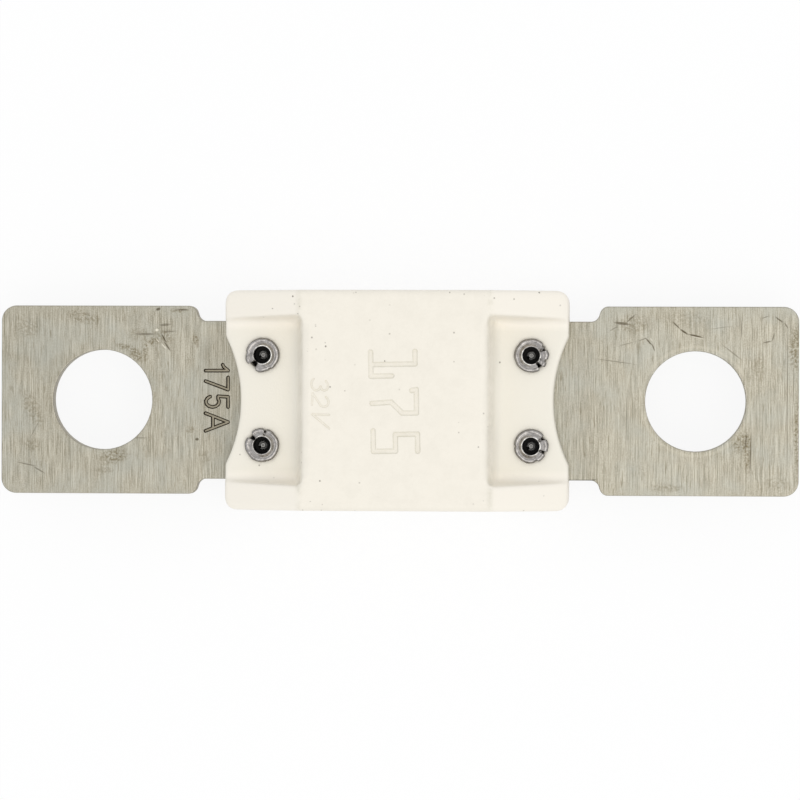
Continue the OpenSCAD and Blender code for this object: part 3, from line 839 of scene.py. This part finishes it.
def rivetProfile(low, high):  # half section, from the middle of the head round to the middle of the bore
    seat, shoulder = high - rivet["rimHeight"], low + rivet["headHeight"]
    flat = rivet["head"] - rivet["headRoll"]
    points = [(0, low)]
    for step in range(rivet["headSteps"] + 1):
        turn = math.radians(90 * step / rivet["headSteps"])
        points.append((
            flat + rivet["headRoll"] * math.sin(turn), low + rivet["headRoll"] * (1 - math.cos(turn))))
    points += [(rivet["head"], shoulder), (rivet["shank"], shoulder), (rivet["shank"], seat + rivet["foot"])]
    points += [(rivet["rim"] - inwards, seat + rise) for inwards, rise in rollProfile]
    deep = seat - rivet["tubeDepth"]
    crest = deep + rivet["pip"]
    points += [(rivet["tube"], seat + rivet["boreEdge"]), (rivet["tube"], deep), (rivet["disc"], deep)]
    points += [(rivet["disc"] - inwards, crest - drop) for inwards, drop in discProfile]
    points.append((0, points[-1][1]))
    return points


def tornBy(tears, angle):  # how far the rim is drawn in at an angle, less how far it stands out
    drawn, out = 0, 0
    for middle, half, depth in tears:
        away = abs((angle - middle + 180) % 360 - 180) / half
        if depth > 0:                    # a tear has steep sides
            drawn = max(drawn, depth * max(0, 1 - away ** 4))
        else:                            # and a petal is round
            out = max(out, -depth * max(0, 1 - away * away))
    return drawn if drawn > 0 else -out


def unevenRoll(bm, tears, seat, seed):  # it wanders in and out, up and down, and is drawn in at tears
    start = rivet["tube"] + rivet["even"]
    waves = rivet["hammerWaves"]
    for vert in bm.verts:
        radius = math.hypot(vert.co.x, vert.co.y)
        if vert.co.z < seat + rivet["slack"] or radius < start:
            continue
        angle = math.degrees(math.atan2(vert.co.y, vert.co.x))
        torn = tornBy(tears, angle)
        sway = noise.noise(Vector((vert.co.x * waves, vert.co.y * waves, seed)))
        share = (radius - start) / (rivet["rim"] - start)
        grown = start + (radius - start) * (1 - torn) + sway * rivet["hammer"] * share
        vert.co.x *= grown / radius
        vert.co.y *= grown / radius
        if torn > 0:
            vert.co.z -= (vert.co.z - seat - rivet["foot"]) * rivet["sink"] * torn * share
        vert.co.z -= abs(sway) * rivet["hammer"] * share


def makeRivet(node, metals):
    low, high = nodeBox(node)
    middle = (low + high) / 2
    seat = high.z - rivet["rimHeight"]    # the pocket's floor
    bm = bmesh.new()
    line = [bm.verts.new((r, 0, z)) for r, z in rivetProfile(low.z, high.z)]
    for a, b in zip(line, line[1:]):
        bm.edges.new((a, b))
    bmesh.ops.spin(
        bm, geom=bm.verts[:] + bm.edges[:], cent=(0, 0, 0), axis=(0, 0, 1),
        angle=math.radians(360), steps=rivet["steps"], use_merge=True,
    )
    bmesh.ops.remove_doubles(bm, verts=bm.verts, dist=merge)
    bmesh.ops.recalc_face_normals(bm, faces=bm.faces)
    unevenRoll(bm, rivetTears[node], seat, middle.x + 3 * middle.y)    # no two rolls are alike
    bmesh.ops.translate(bm, verts=bm.verts, vec=(middle.x, middle.y, 0))
    first, *others = node.split("_")
    piece = meshObject(first + "".join(word.title() for word in others), bm)
    for metal in metals:
        piece.data.materials.append(metal)
    boreFoot, boreTop = low.z + rivet["headHeight"], seat + rivet["lip"]
    for face in piece.data.polygons:
        x, y = face.center.x - middle.x, face.center.y - middle.y
        radius = math.hypot(x, y)
        whole = abs(math.degrees(math.atan2(y, x)) - rivet["ringBreak"]) > rivet["breakReach"]
        ring = rivet["ringFrom"] < radius < rivet["ringTo"] and whole
        # in the bore, the wall and the groove of the disc take the painted shadow, its ring and pip the bore
        # floor's metal
        if radius > rivet["tube"] + rivet["slack"] or not boreFoot < face.center.z < boreTop:
            face.material_index = 0
        elif ring or radius < rivet["pipSpot"]:
            face.material_index = 2
        else:
            face.material_index = 1
    shadeByAngle(piece, rivet["crisp"])
    dress(piece, node)


# Pellet: pure tin, pressed, so pale and dull; it keeps the CAD node's own form

pellet = {
    "dark": "#B9B9B4",
    "pale": "#DADAD6",
    "dimple": 0.4,            # mm between its patches
    "smooth": 0.35,           # roughness
    "rough": 0.55,
}


def pressedTin():
    material, tree, shader = newMaterial("pressedTin", Metallic=1.0)
    spot = addNode(tree, "ShaderNodeTexCoord").outputs["Object"]
    dimple = addNode(tree, "ShaderNodeTexNoise", {
        "Vector": spot, "Scale": 1 / (pellet["dimple"] * mm), "Detail": 3})
    mix = addNode(tree, "ShaderNodeMix", {
        "Factor": dimple.outputs["Fac"], "A": hexColour(pellet["dark"]), "B": hexColour(pellet["pale"])},
        data_type="RGBA")
    gloss = addNode(tree, "ShaderNodeMapRange", {
        "Value": dimple.outputs["Fac"], "To Min": pellet["smooth"], "To Max": pellet["rough"]})
    tree.links.new(mix.outputs["Result"], shader.inputs["Base Color"])
    tree.links.new(gloss.outputs["Result"], shader.inputs["Roughness"])
    return material


def dressPellet():
    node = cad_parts["tin_pellet"]
    node.data.materials.clear()
    node.data.materials.append(pressedTin())
    print("pellet keeps its node")


# The object

makeCovers()
makeStrip()
# the second material is the painted shadow in the bores
rivetMetals = [clinchedSteel(), dirtyAndShadedMetal("shadowedBore"), dirtyAndShadedMetal("boreFloor")]
for rivetNode in rivetTears:
    makeRivet(rivetNode, rivetMetals)
dressPellet()

# Floor, lights and camera

studio = {
    "floorSize": 3.0,         # m
    "floorWhite": 0.98,
    "floorLift": 0.87,        # share of the floor that shows as plain white, so that its shadow stays soft
    "worldLight": 0.82,
    "worldTint": "#FAFCFF",   # shade is a little cooler than light
    "keyTint": "#FFFAF2",
    "keyPower": 1.6,          # W
    "keyPlace": (0.17, -0.17, 0.75),
    "keySize": 0.6,           # m
}


def seenDirectly(tree):  # 1 for rays from the camera, a reflection or through glass
    path = addNode(tree, "ShaderNodeLightPath")
    first = addNode(tree, "ShaderNodeMath", {
        0: path.outputs["Is Camera Ray"], 1: path.outputs["Is Glossy Ray"]}, operation="MAXIMUM")
    return addNode(tree, "ShaderNodeMath", {
        0: first.outputs[0], 1: path.outputs["Is Transmission Ray"]}, operation="MAXIMUM").outputs[0]


def makeFloor():
    bm = bmesh.new()
    bmesh.ops.create_grid(bm, x_segments=1, y_segments=1, size=studio["floorSize"] / 2)
    floor = meshObject("floor", bm)
    material = bpy.data.materials.new("paleFloor")
    material.use_nodes = True
    tree = material.node_tree
    tree.nodes.clear()
    white = (*[studio["floorWhite"]] * 3, 1)
    matt = addNode(tree, "ShaderNodeBsdfDiffuse", {"Color": white})
    glow = addNode(tree, "ShaderNodeEmission", {"Color": (1, 1, 1, 1), "Strength": 1})
    share = addNode(tree, "ShaderNodeMath", {
        0: seenDirectly(tree), 1: studio["floorLift"]}, operation="MULTIPLY")
    mix = addNode(tree, "ShaderNodeMixShader", {
        0: share.outputs[0], 1: matt.outputs[0], 2: glow.outputs[0]})
    addNode(tree, "ShaderNodeOutputMaterial", {"Surface": mix.outputs[0]})
    floor.data.materials.append(material)


def makeWorld():
    world = bpy.data.worlds.new("studio")
    bpy.context.scene.world = world
    world.use_nodes = True
    tree = world.node_tree
    tree.nodes.clear()
    strength = addNode(tree, "ShaderNodeMapRange", {
        "Value": seenDirectly(tree), "To Min": studio["worldLight"], "To Max": 1})
    tint = addNode(tree, "ShaderNodeMix", {
        "Factor": seenDirectly(tree), "A": hexColour(studio["worldTint"]), "B": (1, 1, 1, 1)},
        data_type="RGBA")
    sky = addNode(tree, "ShaderNodeBackground", {
        "Color": tint.outputs["Result"], "Strength": strength.outputs["Result"]})
    addNode(tree, "ShaderNodeOutputWorld", {"Surface": sky.outputs[0]})


def makeKey():
    lamp = bpy.data.lights.new("softbox", "AREA")
    lamp.shape = "SQUARE"
    lamp.size = studio["keySize"]
    lamp.energy = studio["keyPower"]
    lamp.color = hexColour(studio["keyTint"])[:3]
    box = bpy.data.objects.new("softbox", lamp)
    bpy.context.scene.collection.objects.link(box)
    box.location = studio["keyPlace"]
    box.rotation_euler = (-box.location).to_track_quat("-Z", "Y").to_euler()


view = {                      # fitted to the picture of the fuse
    "place": (20.17, 0.69, 326.81),        # mm
    "turn": (-0.104, 3.563, 0.191),        # degrees
    "focal": 3742.2,          # px, in a picture 800 px wide
    "frameWidth": 800,        # px
    "sensor": 36,             # mm
    "near": 0.01,             # m
    "far": 10,
}


def makeCamera():
    data = bpy.data.cameras.new("camera")
    data.sensor_width = view["sensor"]
    data.lens = view["focal"] * view["sensor"] / view["frameWidth"]
    data.clip_start, data.clip_end = view["near"], view["far"]
    camera = bpy.data.objects.new("camera", data)
    bpy.context.scene.collection.objects.link(camera)
    camera.location = Vector(view["place"]) * mm
    camera.rotation_euler = [math.radians(a) for a in view["turn"]]
    bpy.context.scene.camera = camera


makeFloor()
makeWorld()
makeKey()
makeCamera()
bpy.context.scene.view_settings.view_transform = "Standard"
print("studio ready")
